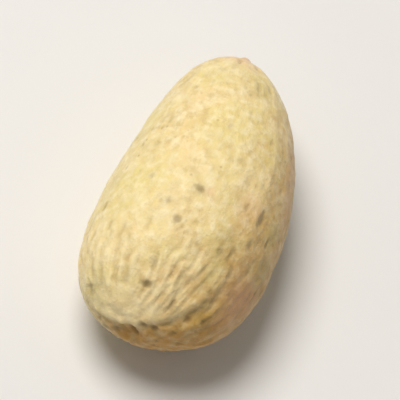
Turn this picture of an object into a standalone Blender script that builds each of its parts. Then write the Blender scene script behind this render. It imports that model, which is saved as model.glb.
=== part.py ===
"""A neem seed in its woody shell, lying on its side.

The shell is one closed solid, drawn by formula. Its long axis is +X, from the
scar at the broad end to the point at the narrow end. +Y is across, +Z is up.
The origin is under the middle of the seed, on the plane that it rests on.
"""

import math

import bmesh
import bpy
import numpy as np

MM = 0.001

# Overall size
LENGTH = 15.0 * MM
WIDTH = 8.4 * MM
THICKNESS = 7.5 * MM

# Seen from above it is widest before its middle, and seen from the side nearer its middle
WIDEST_AT = 0.40
THICKEST_AT = 0.463

# The broad end is blunter than half an ellipse, whose power is 2
BLUNTNESS_ABOVE = 3.2
BLUNTNESS_SIDE = 2.6
BROAD_END_ROUNDNESS = 0.47

# The narrow end is a little more pointed than half an ellipse, whose roundness is 0.5
NARROW_END_POWER = 2.0
NARROW_END_ROUNDNESS = 0.55

# The middle of the seed bows out sideways, so one flank is nearly straight
BOW = 0.57 * MM

# Three raised seams run from end to end, a third of a turn apart
SEAM_COUNT = 3
FIRST_SEAM = math.radians(4.0)
SEAM_HEIGHT = 0.11 * MM
SEAM_HALF_WIDTH = math.radians(5.0)

# The point at the narrow end
TIP_HEIGHT = 0.20 * MM
TIP_RADIUS = 0.42 * MM

# The scar at the broad end: a shallow dimple with a low rim, a little above the axis
SCAR_RADIUS = 0.75 * MM
SCAR_DEPTH = 0.14 * MM
SCAR_RIM = 0.05 * MM
SCAR_RIM_WIDTH = 0.35 * SCAR_RADIUS
SCAR_Y = 0.15 * MM
SCAR_Z = 0.28 * MM

# The small flat spot underneath
SPOT_DEPTH = 0.16 * MM

# Mesh. Corners this near the flat spot's plane are moved onto it
RINGS = 44
RING_POINTS = 72
END_CROWDING = 0.6
FINE_STEPS = 4000
SPOT_SNAP = 0.01 * MM
SHARP_EDGE = math.radians(40.0)

# Finish
SHELL_COLOUR = (0.80, 0.64, 0.36, 1.0)
SHELL_ROUGHNESS = 0.62


def fullness(share, largest_at, bluntness):
    """Half-width at a share of the way from the broad end to the narrow one, as a share of the largest."""
    if share < largest_at:
        away = (largest_at - share) / largest_at
        return (1.0 - away**bluntness) ** BROAD_END_ROUNDNESS
    away = (share - largest_at) / (1.0 - largest_at)
    return max(0.0, 1.0 - away**NARROW_END_POWER) ** NARROW_END_ROUNDNESS


def half_width(share):
    """Half of the seed's width, without its seams."""
    return WIDTH / 2.0 * fullness(share, WIDEST_AT, BLUNTNESS_ABOVE)


def half_thickness(share):
    """Half of the seed's thickness, without its seams."""
    return THICKNESS / 2.0 * fullness(share, THICKEST_AT, BLUNTNESS_SIDE)


def even_shares(count):
    """Shares of the length that are evenly spaced over the surface, and closer together near both ends."""
    share = (1.0 - np.cos(np.linspace(0.0, np.pi, FINE_STEPS))) / 2.0
    out = np.array([half_width(one) for one in share])
    steps = np.hypot(np.diff(share * LENGTH), np.diff(out))
    travelled = np.concatenate([[0.0], np.cumsum(steps)])
    place = np.linspace(0.0, 1.0, count + 2)[1:-1]
    place = place - END_CROWDING * np.sin(2.0 * np.pi * place) / (2.0 * np.pi)
    return np.interp(place * travelled[-1], travelled, share)


def seam_rise(share, angle):
    """How far the seams stand up at an angle round the axis. They fade out at both ends."""
    rise = 0.0
    for number in range(SEAM_COUNT):
        crest = FIRST_SEAM + number * 2.0 * math.pi / SEAM_COUNT
        away = math.remainder(angle - crest, 2.0 * math.pi)
        rise += math.exp(-((away / SEAM_HALF_WIDTH) ** 2))
    return SEAM_HEIGHT * rise * math.sin(math.pi * share) ** 0.5


def shell_point(share, angle):
    """A point of the shell, at a share of its length and an angle round it from +Y towards +Z."""
    rise = seam_rise(share, angle)
    x = (share - 0.5) * (LENGTH - TIP_HEIGHT)
    y = (half_width(share) + rise) * math.cos(angle) - BOW * math.sin(math.pi * share)
    z = (half_thickness(share) + rise) * math.sin(angle)
    return [x + end_shape(share, y, z), y, z]


def end_shape(share, y, z):
    """How far the tip or the scar moves a point along the axis."""
    if share > 0.5:
        return TIP_HEIGHT * math.exp(-((y * y + z * z) / TIP_RADIUS**2))
    out = math.hypot(y - SCAR_Y, z - SCAR_Z)
    rim = SCAR_RIM * math.exp(-(((out - SCAR_RADIUS) / SCAR_RIM_WIDTH) ** 2))
    if out >= SCAR_RADIUS:
        return -rim
    return SCAR_DEPTH * (1.0 - (out / SCAR_RADIUS) ** 2) ** 2 - rim


def shell_mesh():
    """The closed shell as a bmesh, with a fan of triangles at each end."""
    made = bmesh.new()
    broad_end = made.verts.new(shell_point(0.0, 0.0))
    rings = []
    for share in even_shares(RINGS):
        ring = []
        for step in range(RING_POINTS):
            angle = FIRST_SEAM + step * 2.0 * math.pi / RING_POINTS
            ring.append(made.verts.new(shell_point(share, angle)))
        rings.append(ring)
    narrow_end = made.verts.new(shell_point(1.0, 0.0))

    for step in range(RING_POINTS):
        after = (step + 1) % RING_POINTS
        made.faces.new((broad_end, rings[0][after], rings[0][step]))
        for near, far in zip(rings, rings[1:]):
            made.faces.new((near[step], near[after], far[after], far[step]))
        made.faces.new((rings[-1][step], rings[-1][after], narrow_end))
    return made


def cut_resting_spot(made):
    """Cuts the flat spot under the seed and closes it with one face."""
    lowest = min(vert.co.z for vert in made.verts)
    everything = made.verts[:] + made.edges[:] + made.faces[:]
    cut = bmesh.ops.bisect_plane(
        made,
        geom=everything,
        dist=SPOT_SNAP,
        plane_co=(0.0, 0.0, lowest + SPOT_DEPTH),
        plane_no=(0.0, 0.0, -1.0),
        use_snap_center=True,
        clear_outer=True,
    )
    edges = [item for item in cut["geom_cut"] if isinstance(item, bmesh.types.BMEdge)]
    bmesh.ops.contextual_create(made, geom=edges)


def stand_on_origin(made):
    """Moves the seed so that the origin is under its middle, on the plane of the flat spot."""
    corners = np.array([vert.co[:] for vert in made.verts])
    low = corners.min(axis=0)
    high = corners.max(axis=0)
    middle = (low + high) / 2.0
    bmesh.ops.translate(made, verts=made.verts, vec=(-middle[0], -middle[1], -low[2]))


def shell_material():
    """The pale dry shell."""
    made = bpy.data.materials.new("seed_shell")
    made.use_nodes = True
    surface = made.node_tree.nodes["Principled BSDF"]
    surface.inputs["Base Color"].default_value = SHELL_COLOUR
    surface.inputs["Roughness"].default_value = SHELL_ROUGHNESS
    surface.inputs["Metallic"].default_value = 0.0
    return made


def neem_seed():
    """The whole seed, in one piece."""
    made = shell_mesh()
    cut_resting_spot(made)
    stand_on_origin(made)
    bmesh.ops.recalc_face_normals(made, faces=made.faces)
    mesh = bpy.data.meshes.new("neem_seed")
    made.to_mesh(mesh)
    made.free()
    mesh.shade_smooth()
    mesh.set_sharp_from_angle(angle=SHARP_EDGE)
    mesh.materials.append(shell_material())
    seed = bpy.data.objects.new("neem_seed", mesh)
    bpy.context.scene.collection.objects.link(seed)
    return seed


for old in list(bpy.data.objects):
    bpy.data.objects.remove(old)
neem_seed()
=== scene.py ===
"""A dried neem seed in its pale woody shell, lying on its side on a plain floor.

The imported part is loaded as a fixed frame, and one piece is made over it: the shell. Its form is a
formula, and its seams, grooves, pits, scar and point are shaped in the mesh. Lengths are in
millimetres until the mesh is finished. A place on the shell is a share of the seed's length, from
0 at the broad end to 1 at the point, and a turn round it in degrees, from +Y towards +Z.
"""

import logging
import math
from collections.abc import Iterable, Iterator
from dataclasses import dataclass, field
from enum import Enum

import bmesh
import bpy
import numpy as np
from mathutils import Matrix, Vector, noise


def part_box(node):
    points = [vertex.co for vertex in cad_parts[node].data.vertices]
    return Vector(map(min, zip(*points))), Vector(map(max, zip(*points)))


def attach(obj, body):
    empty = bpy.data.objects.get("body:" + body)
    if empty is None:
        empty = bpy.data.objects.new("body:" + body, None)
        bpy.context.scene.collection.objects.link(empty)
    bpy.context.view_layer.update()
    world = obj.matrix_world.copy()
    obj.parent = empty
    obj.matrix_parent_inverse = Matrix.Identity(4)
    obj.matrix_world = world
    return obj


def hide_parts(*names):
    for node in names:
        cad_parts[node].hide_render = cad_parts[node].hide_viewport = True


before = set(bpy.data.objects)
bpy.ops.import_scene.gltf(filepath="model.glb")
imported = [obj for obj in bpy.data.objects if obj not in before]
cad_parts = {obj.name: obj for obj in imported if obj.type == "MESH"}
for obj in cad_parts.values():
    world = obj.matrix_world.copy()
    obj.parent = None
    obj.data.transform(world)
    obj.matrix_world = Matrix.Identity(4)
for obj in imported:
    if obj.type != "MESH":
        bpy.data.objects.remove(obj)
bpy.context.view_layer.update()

LOG = logging.getLogger("neem_seed")
MM = 0.001
FULL_TURN = 2.0 * math.pi

# The step from one draw of noise to the next, in wavelengths. It isn't whole, so no two line up
NOISE_STEP = Vector((3.7, 11.3, 5.9))

# Added to a mark's draw for a second field of noise, apart from its first
OTHER_DRAW = 20

# The noise of a shader runs from 0 to 1 about this value
NOISE_MIDDLE = 0.5

# Half of what one side of a square spans round its middle, in degrees
HALF_SIDE = 45.0

Span = tuple[float, float]
Colour = tuple[float, float, float, float]


class Mark(Enum):
    """What the shell can show at a place, stored in the mesh as a share from 0 to 1. The dent, groove and
    pit shades are painted shade, the crest highlight is a painted highlight, and the tan is partly painted
    shade.
    """

    GROOVE_SHADE = "groove"
    PIT_SHADE = "pit"
    CREST_HIGHLIGHT = "crest"
    DENT_SHADE = "dent_shade"
    TAN = "tan"
    MAUVE = "mauve"
    OLIVE = "olive"
    PEACH = "peach"


def smooth_step(low: float, high: float, value: np.ndarray) -> np.ndarray:
    """A smooth rise from 0 to 1, or a fall where high is the smaller of the two."""
    share = np.clip((value - low) / (high - low), 0.0, 1.0)
    return share * share * (3.0 - 2.0 * share)


def hump(distance: np.ndarray, width: float) -> np.ndarray:
    """A round hump, 1 at no distance and about a third at its width."""
    return np.exp(-((distance / width) ** 2))


def soft_noise(places: np.ndarray, wavelength: float, draw: int) -> np.ndarray:
    """Smooth noise at each place.

    Args:
        places: Points, one a row, in millimetres.
        wavelength: The rough distance between two bumps, in millimetres.
        draw: Picks one of many fields of noise.

    Returns:
        One value a place, mostly between -0.7 and 0.7.
    """
    shift = draw * NOISE_STEP
    return np.array([noise.noise(Vector(place) / wavelength + shift) for place in places])


@dataclass(frozen=True)
class SeedForm:
    """The plain form of the seed, a lopsided teardrop with a blunt broad end.

    Args:
        length: From end to end.
        width: Across, without the seams.
        thickness: From under to over, without the seams and before it rests on its flat spot.
        widest_at: The share of the length at which it is widest.
        thickest_at: The share at which it is thickest.
        bluntness_above: How blunt the broad end is, seen from above. 2 is an ellipse's.
        bluntness_side: The same, seen from the side.
        broad_end_roundness: How full the broad end is. 0.5 is an ellipse's, and less is fuller.
        narrow_end_power: How blunt the narrow end is. 2 is an ellipse's.
        narrow_end_roundness: How full the narrow end is. 0.5 is an ellipse's.
        bow: How far its middle bows towards -Y.
        tip_height: Of the point at the narrow end.
        tip_radius: From the point's middle to where about a third of its height is left.
        scar_radius: Of the dimple at the broad end.
        scar_depth: Of the dimple.
        scar_rim: How far its rim stands up.
        scar_rim_width: How wide the rim is, as a share of the dimple's radius.
        scar_y: Where its middle lies across the seed.
        scar_z: Where its middle lies above the seed's axis.
        travel_steps: How many points the length is measured at.
    """

    length: float
    width: float
    thickness: float
    widest_at: float = 0.40
    thickest_at: float = 0.463
    bluntness_above: float = 3.2
    bluntness_side: float = 2.6
    broad_end_roundness: float = 0.47
    narrow_end_power: float = 2.0
    narrow_end_roundness: float = 0.55
    bow: float = 0.57
    tip_height: float = 0.30
    tip_radius: float = 0.30
    scar_radius: float = 0.75
    scar_depth: float = 0.16
    scar_rim: float = 0.06
    scar_rim_width: float = 0.3
    scar_y: float = 0.15
    scar_z: float = 0.28
    travel_steps: int = 2000

    @classmethod
    def in_box(cls, size: Vector) -> "SeedForm":
        """The form that fills a box, once its seams stand out and it rests on its flat spot.

        Args:
            size: The box's sides in metres.

        Returns:
            The form, in millimetres.
        """
        body_of_width = 0.982
        body_of_height = 1.022
        return cls(size.x / MM, size.y / MM * body_of_width, size.z / MM * body_of_height)

    def fullness(self, share: np.ndarray, largest_at: float, bluntness: float) -> np.ndarray:
        """Half-width along the seed, as a share of the largest.

        Args:
            share: Places along the seed.
            largest_at: The place where the seed is largest.
            bluntness: 2 is an ellipse's broad end, and more is blunter.

        Returns:
            One share a place, 0 at both ends.
        """
        before = np.clip((largest_at - share) / largest_at, 0.0, 1.0)
        after = np.clip((share - largest_at) / (1.0 - largest_at), 0.0, 1.0)
        broad = (1.0 - before**bluntness) ** self.broad_end_roundness
        narrow = (1.0 - after**self.narrow_end_power) ** self.narrow_end_roundness
        return np.where(share < largest_at, broad, narrow)

    def half_width(self, share: np.ndarray) -> np.ndarray:
        """Half of the width at places along the seed."""
        return self.width / 2.0 * self.fullness(share, self.widest_at, self.bluntness_above)

    def half_thickness(self, share: np.ndarray) -> np.ndarray:
        """Half of the thickness at places along the seed."""
        return self.thickness / 2.0 * self.fullness(share, self.thickest_at, self.bluntness_side)

    def radius(self, share: np.ndarray) -> np.ndarray:
        """The mean half-width, for distances round the seed."""
        return (self.half_width(share) + self.half_thickness(share)) / 2.0

    def travel(self, share: np.ndarray) -> np.ndarray:
        """Distances over the surface from the broad end.

        Args:
            share: Places along the seed.

        Returns:
            One distance a place.
        """
        steps = (1.0 - np.cos(np.linspace(0.0, math.pi, self.travel_steps))) / 2.0
        lengths = np.hypot(np.diff(steps * self.length), np.diff(self.radius(steps)))
        travelled = np.concatenate([[0.0], np.cumsum(lengths)])
        return np.interp(share, steps, travelled)

    def points(self, share: np.ndarray, turn: np.ndarray) -> np.ndarray:
        """Points of the form, one a row.

        Args:
            share: Places along the seed.
            turn: Angles round it, in radians.

        Returns:
            The points, with the seed's axis along X.
        """
        x = (share - 0.5) * (self.length - self.tip_height)
        y = self.half_width(share) * np.cos(turn) - self.bow * np.sin(math.pi * share)
        z = self.half_thickness(share) * np.sin(turn)
        nub = self.tip_height * np.exp(-((y * y + z * z) / self.tip_radius**2))
        out = np.hypot(y - self.scar_y, z - self.scar_z) / self.scar_radius
        dimple = self.scar_depth * np.clip(1.0 - out**2, 0.0, 1.0) ** 2
        rim = self.scar_rim * hump(out - 1.0, self.scar_rim_width)
        return np.column_stack([x + np.where(share > 0.5, nub, dimple - rim), y, z])


@dataclass(frozen=True)
class EvenBall:
    """A ball of even quads: a square cap at each end and a square tube between them.

    Args:
        cells_across: Quads across a cap, and along each side of the tube's square.
        cells_along: Quads along the tube.
        cap_reach: The angle from an end to the edge of its cap, in degrees.
        seam_gap: Corners closer than this are one, where the ball's radius is 1.
    """

    cells_across: int = 96
    cells_along: int = 200
    cap_reach: float = 38.0
    seam_gap: float = 1e-4

    def cap_angles(self) -> tuple[np.ndarray, np.ndarray]:
        """The grid of a cap, a square bent to a disc.

        Returns:
            Angles from the end and angles round it, each as a grid.
        """
        even = np.radians(np.linspace(-HALF_SIDE, HALF_SIDE, self.cells_across + 1))
        across, up = np.meshgrid(math.sqrt(2.0) * np.sin(even), math.sqrt(2.0) * np.sin(even))
        right = across * np.sqrt(1.0 - up**2 / 2.0)
        high = up * np.sqrt(1.0 - across**2 / 2.0)
        return np.hypot(right, high) * math.radians(self.cap_reach), np.arctan2(high, right)

    def tube_angles(self) -> tuple[np.ndarray, np.ndarray]:
        """The grid of the tube between the caps, which has four sides.

        Returns:
            Angles from the broad end and angles round the seed, each as a grid.
        """
        cap = math.radians(self.cap_reach)
        from_end = np.linspace(cap, math.pi - cap, self.cells_along + 1)
        start = -math.radians(HALF_SIDE)
        turn = np.linspace(start, start + FULL_TURN, 4 * self.cells_across + 1)
        return tuple(np.meshgrid(from_end, turn, indexing="ij"))

    def mesh(self, name: str) -> bpy.types.Mesh:
        """The ball as a mesh of radius 1, whose -X end is the seed's broad end.

        Args:
            name: The mesh's name.

        Returns:
            The closed mesh, its faces pointing out.
        """
        made = bmesh.new()
        from_end, turn = self.cap_angles()
        self.add_grid(made, from_end, turn)
        self.add_grid(made, math.pi - from_end, turn)
        self.add_grid(made, *self.tube_angles())
        bmesh.ops.remove_doubles(made, verts=made.verts, dist=self.seam_gap)
        bmesh.ops.recalc_face_normals(made, faces=made.faces)
        mesh = bpy.data.meshes.new(name)
        made.to_mesh(mesh)
        made.free()
        return mesh

    @staticmethod
    def add_grid(made: bmesh.types.BMesh, from_end: np.ndarray, turn: np.ndarray) -> None:
        """Adds one grid of points and the quads between them.

        Args:
            made: The mesh that is being made.
            from_end: Angles from the broad end, as a grid.
            turn: Angles round the seed, as a grid of the same shape.
        """
        places = np.stack(
            [-np.cos(from_end), np.sin(from_end) * np.cos(turn), np.sin(from_end) * np.sin(turn)],
            axis=-1,
        )
        rows = [[made.verts.new(place) for place in row] for row in places]
        for low, high in zip(rows, rows[1:]):
            for near, far in zip(range(len(low) - 1), range(1, len(low))):
                made.faces.new((low[near], low[far], high[far], high[near]))


@dataclass
class Skin:
    """The shell's surface while it is worked: where each corner of the mesh is, and what shows there.

    Args:
        form: The plain form under the marks.
        points: The corners, one a row.
        normals: The direction out of the shell at each corner.
        share: Each corner's place along the seed.
        turn: Each corner's angle round it, in radians.
    """

    form: SeedForm
    points: np.ndarray
    normals: np.ndarray
    share: np.ndarray
    turn: np.ndarray
    rise: np.ndarray = field(init=False)
    marks: dict[Mark, np.ndarray] = field(init=False)
    travelled: np.ndarray = field(init=False)
    local_radius: np.ndarray = field(init=False)

    def __post_init__(self) -> None:
        """Starts with a smooth and clean shell, and measures each corner's place on it."""
        self.rise = np.zeros(len(self.points))
        self.marks = {mark: np.zeros(len(self.points)) for mark in Mark}
        self.travelled = self.form.travel(self.share)
        self.local_radius = self.form.radius(self.share)

    def along(self, share: float) -> np.ndarray:
        """Distances over the surface, lengthwise, from a place along the seed."""
        return self.travelled - float(self.form.travel(np.array([share]))[0])

    def around(self, turn: float | np.ndarray) -> np.ndarray:
        """Distances round the seed from an angle in degrees."""
        away = self.turn - np.radians(turn)
        return self.local_radius * (np.mod(away + math.pi, FULL_TURN) - math.pi)

    def near(self, share: float, turn: float) -> tuple[np.ndarray, np.ndarray, np.ndarray]:
        """Distances from one place, measured straight through space, so they hold at the ends too.

        Args:
            share: The place along the seed.
            turn: The angle round it, in degrees.

        Returns:
            Distances lengthwise, crosswise and in all.
        """
        centre = self.form.points(np.array([share]), np.radians([turn]))[0]
        closest = int(np.argmin(((self.points - centre) ** 2).sum(axis=1)))
        out = self.normals[closest]
        lengthwise = np.array([1.0, 0.0, 0.0]) - out[0] * out
        lengthwise /= np.linalg.norm(lengthwise)
        crosswise = np.cross(out, lengthwise)
        away = self.points - self.points[closest]
        return away @ lengthwise, away @ crosswise, np.linalg.norm(away, axis=1)

    def drawn(self, stretch: float) -> np.ndarray:
        """Places in which noise comes out drawn along the seed, and closes up round it.

        Args:
            stretch: Under 1, the share that a length along the seed counts for.

        Returns:
            The places, one a row.
        """
        reach = self.form.width / 2.0
        lengthwise = self.travelled * stretch
        return np.column_stack([lengthwise, reach * np.cos(self.turn), reach * np.sin(self.turn)])

    def show(self, mark: Mark, amount: np.ndarray) -> None:
        """Lets a mark show by this amount where it doesn't show more already."""
        self.marks[mark] = np.maximum(self.marks[mark], np.clip(amount, 0.0, 1.0))


@dataclass(frozen=True)
class Lumps:
    """Unevenness all over the shell.

    Args:
        spacing: The rough distance between two lumps.
        height: How far noise of 1 raises the shell.
        draw: Picks the noise.
        stretch: Under 1, the share that a length along the seed counts for, which draws the lumps out.
        dent_shade: How strongly painted shade darkens the dents between them, from 0 to 1.
        least: The share of their strength that is left away from the broad end.
        strong_until: The place along the seed up to which they have all their strength.
        weak_from: The place from which only the least of it is left.
        dent: The noise at which a dent's painted shade starts to show, and at which it shows fully.
    """

    spacing: float
    height: float
    draw: int
    stretch: float = 1.0
    dent_shade: float = 0.0
    least: float = 1.0
    strong_until: float = 0.15
    weak_from: float = 0.45
    dent: Span = (0.0, -0.45)

    def press(self, skin: Skin) -> None:
        """Makes the skin uneven, and paints shade in its dents.

        Args:
            skin: The surface that is worked.
        """
        places = skin.points if self.stretch == 1.0 else skin.drawn(self.stretch)
        lumps = soft_noise(places, self.spacing, self.draw)
        near_end = smooth_step(self.weak_from, self.strong_until, skin.share)
        strength = self.least + (1.0 - self.least) * near_end
        skin.rise += self.height * strength * lumps
        # Painted shade in the dents between the lumps
        skin.show(Mark.DENT_SHADE, self.dent_shade * strength * smooth_step(*self.dent, lumps))


@dataclass(frozen=True)
class Swell:
    """A broad swelling of the form, or a flattening.

    Args:
        share: The place of its middle along the seed.
        turn: Its angle round the seed, in degrees.
        length: Along the seed, between the places where about a third of it is left.
        width: Round the seed, between such places.
        height: How far it stands up. Under 0, it flattens the form.
    """

    share: float
    turn: float
    length: float
    width: float
    height: float

    def press(self, skin: Skin) -> None:
        """Swells or flattens the skin.

        Args:
            skin: The surface that is worked.
        """
        lengthwise = skin.along(self.share) / (self.length / 2.0)
        crosswise = skin.around(self.turn) / (self.width / 2.0)
        skin.rise += self.height * hump(np.hypot(lengthwise, crosswise), 1.0)


@dataclass(frozen=True)
class Seam:
    """A raised seam from end to end: a fine crest on a low swelling, with a painted highlight on the crest.

    Args:
        turn: Its angle round the seed, in degrees, along most of its length.
        crest: How far its crest stands up.
        bend: How many degrees it leans back at the broad end.
        swelling: How far the swelling under it stands up.
        draw: Picks the way that it wavers.
        bend_reach: The share of the seed over which the bend fades to about a third.
        crest_width: From its crest's middle to where about a third is left.
        swelling_width: The same for the swelling.
        waver: How many degrees noise of 1 moves it.
        waver_length: The wavelength of that noise.
        unevenness: How far noise of 1 changes its crest, as a share.
        unevenness_length: The wavelength of that noise.
        full_crest: The height of a crest that shows all its painted highlight.
        highlight: How strongly a painted highlight lightens such a crest, from 0 to 1.
    """

    turn: float
    crest: float
    bend: float = 0.0
    swelling: float = 0.06
    draw: int = 1
    bend_reach: float = 0.066
    crest_width: float = 0.15
    swelling_width: float = 0.60
    waver: float = 4.0
    waver_length: float = 2.9
    unevenness: float = 1.3
    unevenness_length: float = 1.3
    full_crest: float = 0.07
    paleness: float = 0.6

    def press(self, skin: Skin) -> None:
        """Raises the seam on the skin, and paints a highlight on its crest.

        Args:
            skin: The surface that is worked.
        """
        nought = np.zeros_like(skin.share)
        line = np.column_stack([skin.travelled, nought, nought])
        wander = self.waver * soft_noise(line, self.waver_length, self.draw)
        wander -= self.bend * np.exp(-skin.share / self.bend_reach)
        across = skin.around(self.turn + wander)
        fade = np.sqrt(np.sin(math.pi * skin.share))
        uneven = 1.0 + self.unevenness * soft_noise(line, self.unevenness_length, self.draw + OTHER_DRAW)
        crest = hump(across, self.crest_width) * fade * uneven
        skin.rise += self.crest * crest + self.swelling * hump(across, self.swelling_width) * fade
        # A painted highlight on the crest, stronger where it stands higher
        skin.show(Mark.CREST_HIGHLIGHT, self.paleness * crest * self.crest / self.full_crest)


@dataclass(frozen=True)
class Ledge:
    """A rounded ridge along a line over the shell, with a drop and a zone beyond it: a painted highlight on
    the ridge, painted shade in the drop, and tan with painted shade in the zone.

    Args:
        path: Places along the line, each a share of the length and a turn in degrees.
        height: How far the ridge stands up.
        drop: How deep the shell sinks beyond it, to the right of the way along the path.
        tan_and_shade: How strongly the zone beyond is tan and painted shade, from 0 to 1.
        zone_start: How far beyond the line that zone has all its strength.
        zone_full_until: How far beyond the line it keeps it.
        zone_reach: How far that zone goes.
        draw: Picks the way that it wavers.
        samples: How many points stand for the line.
        smoothing_margin: How many more points are smoothed together than lie between two places.
        width: From the ridge's middle to where about a third of it is left.
        drop_place: How far beyond the line the drop is deepest.
        drop_width: From there to where about a third of its depth is left.
        waver: How far noise of 1 moves the line sideways.
        waver_length: The wavelength of that noise.
        notch: How far noise of 1 changes the drop's depth, as a share.
        notch_length: The wavelength of that noise.
        ridge_length: The wavelength of the noise that changes the ridge's height.
        start_fade: The share of the line over which it rises, at its start.
        finish_fade: The share over which it dies away, at its finish.
        zone_fade: The share over which the zone fades, at each end.
        highlight: How strongly a painted highlight lightens the ridge, from 0 to 1.
        shade: How dark the painted shade in the drop is, from 0 to 1.
    """

    path: tuple[tuple[float, float], ...]
    height: float = 0.035
    drop: float = 0.10
    tan_and_shade: float = 1.0
    zone_start: float = 0.72
    zone_full_until: float = 2.5
    zone_reach: float = 5.0
    draw: int = 1
    samples: int = 160
    smoothing_margin: int = 3
    width: float = 0.24
    drop_place: float = 0.36
    drop_width: float = 0.22
    waver: float = 0.09
    waver_length: float = 0.6
    notch: float = 0.5
    notch_length: float = 0.3
    ridge_length: float = 1.2
    start_fade: float = 0.12
    finish_fade: float = 0.24
    zone_fade: float = 0.3
    paleness: float = 0.45
    shade: float = 0.36

    def line(self, form: SeedForm) -> np.ndarray:
        """The path as a smooth line.

        Args:
            form: The form that it runs over.

        Returns:
            Close points along it, one a row.
        """
        shares, turns = np.array(self.path).T
        stops = np.linspace(0.0, 1.0, len(shares))
        steps = np.linspace(0.0, 1.0, self.samples)
        kernel = np.hanning(self.samples // len(shares) + self.smoothing_margin)
        padding = len(kernel) // 2
        smooth = []
        for values in (shares, turns):
            padded = np.pad(np.interp(steps, stops, values), padding, mode="edge")
            smooth.append(np.convolve(padded, kernel / kernel.sum(), mode="same")[padding:-padding])
        return form.points(smooth[0], np.radians(smooth[1]))

    def press(self, skin: Skin) -> None:
        """Shapes the ridge and the drop on the skin, with a painted highlight on the ridge, painted shade
        in the drop, and tan and painted shade in the zone beyond.

        Args:
            skin: The surface that is worked.
        """
        beyond, along = self.places(skin)
        uneven = 1.0 + self.notch * soft_noise(skin.points, self.notch_length, self.draw + OTHER_DRAW)
        fade = smooth_step(0.0, self.start_fade, along) * smooth_step(1.0, 1.0 - self.finish_fade, along)
        swell = 1.0 + soft_noise(skin.points, self.ridge_length, self.draw)
        ridge = hump(beyond, self.width) * fade * swell
        drop = hump(beyond - self.drop_place, self.drop_width) * fade * uneven
        skin.rise += self.height * ridge - self.drop * drop
        # A painted highlight on the ridge, and painted shade in the drop
        skin.show(Mark.CREST_HIGHLIGHT, self.paleness * ridge * uneven)
        skin.show(Mark.GROOVE_SHADE, self.shade * drop)
        # The zone beyond is tan and painted shade, darker than the shell above the ridge
        zone = smooth_step(0.0, self.zone_fade, along) * smooth_step(1.0, 1.0 - self.zone_fade, along)
        zone *= smooth_step(self.zone_reach, self.zone_full_until, beyond)
        skin.show(Mark.TAN, self.tan_and_shade * zone * smooth_step(0.0, self.zone_start, beyond))

    def places(self, skin: Skin) -> tuple[np.ndarray, np.ndarray]:
        """Where each corner of the surface lies from the line.

        Args:
            skin: The surface.

        Returns:
            Distances to the right of the line, and places along it from 0 to 1.
        """
        line = self.line(skin.form)
        squared = (skin.points**2).sum(axis=1)[:, None] - 2.0 * skin.points @ line.T + (line**2).sum(axis=1)
        closest = squared.argmin(axis=1)
        ahead = np.gradient(line, axis=0)
        ahead /= np.linalg.norm(ahead, axis=1)[:, None]
        right = np.cross(ahead[closest], skin.normals)
        beyond = ((skin.points - line[closest]) * right).sum(axis=1)
        beyond += self.waver * soft_noise(skin.points, self.waver_length, self.draw)
        return beyond, closest / (self.samples - 1.0)


@dataclass(frozen=True)
class Ribs:
    """Fine broken ribs that fan out side by side from the scar, with a painted highlight on their crests
    and painted shade in the gaps between them.

    Args:
        turns: The turns between which they lie, in degrees.
        shares: The shares of the length between which they run.
        count: How many there are.
        height: How far they stand up.
        shade: How strongly painted shade darkens the gaps between them, from 0 to 1.
        shine: How strongly a painted highlight lightens their crests, from 0 to 1.
        lean: How many degrees they drift round over a millimetre of their length.
        draw: Picks the way that they break up.
        side_fade: The share of the fan over which they fade, at each side.
        near_fade: The share of the seed over which they fade in.
        far_fade: The share of the seed over which they fade out.
        wander: How far noise of 1 moves a rib, as a share of the way to the next.
        wander_length: The wavelength of that noise.
        piece_length: The wavelength along them of the noise that breaks them up.
        piece_width: Its wavelength across them.
        gaps: The noise at which a rib starts to show, and at which it shows fully.
    """

    turns: Span
    shares: Span
    count: int
    height: float = 0.018
    shade: float = 0.28
    shine: float = 1.0
    lean: float = 0.0
    draw: int = 1
    side_fade: float = 0.15
    near_fade: float = 0.04
    far_fade: float = 0.08
    wander: float = 0.8
    wander_length: float = 1.8
    piece_length: float = 1.0
    piece_width: float = 0.28
    gaps: Span = (-0.35, 0.1)

    def press(self, skin: Skin) -> None:
        """Raises the ribs on the skin, and paints highlight on their crests and shade in their gaps.

        Args:
            skin: The surface that is worked.
        """
        degrees = np.degrees(skin.turn) % 360.0 - self.lean * skin.along(self.shares[0])
        over = (degrees - self.turns[0]) / (self.turns[1] - self.turns[0])
        sides = smooth_step(0.0, self.side_fade, over) * smooth_step(1.0, 1.0 - self.side_fade, over)
        first, last = self.shares
        ends = smooth_step(first, first + self.near_fade, skin.share)
        ends *= smooth_step(last, last - self.far_fade, skin.share)
        pieces = soft_noise(skin.drawn(self.piece_width / self.piece_length), self.piece_width, self.draw)
        shown = sides * ends * smooth_step(*self.gaps, pieces)
        wander = self.wander * soft_noise(skin.points, self.wander_length, self.draw + OTHER_DRAW)
        wave = np.cos(FULL_TURN * (over * self.count + wander))
        skin.rise += self.height * shown * wave
        # A painted highlight on the crests, and painted shade in the gaps
        skin.show(Mark.CREST_HIGHLIGHT, self.shine * shown * wave)
        skin.show(Mark.GROOVE_SHADE, -self.shade * shown * wave)


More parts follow.
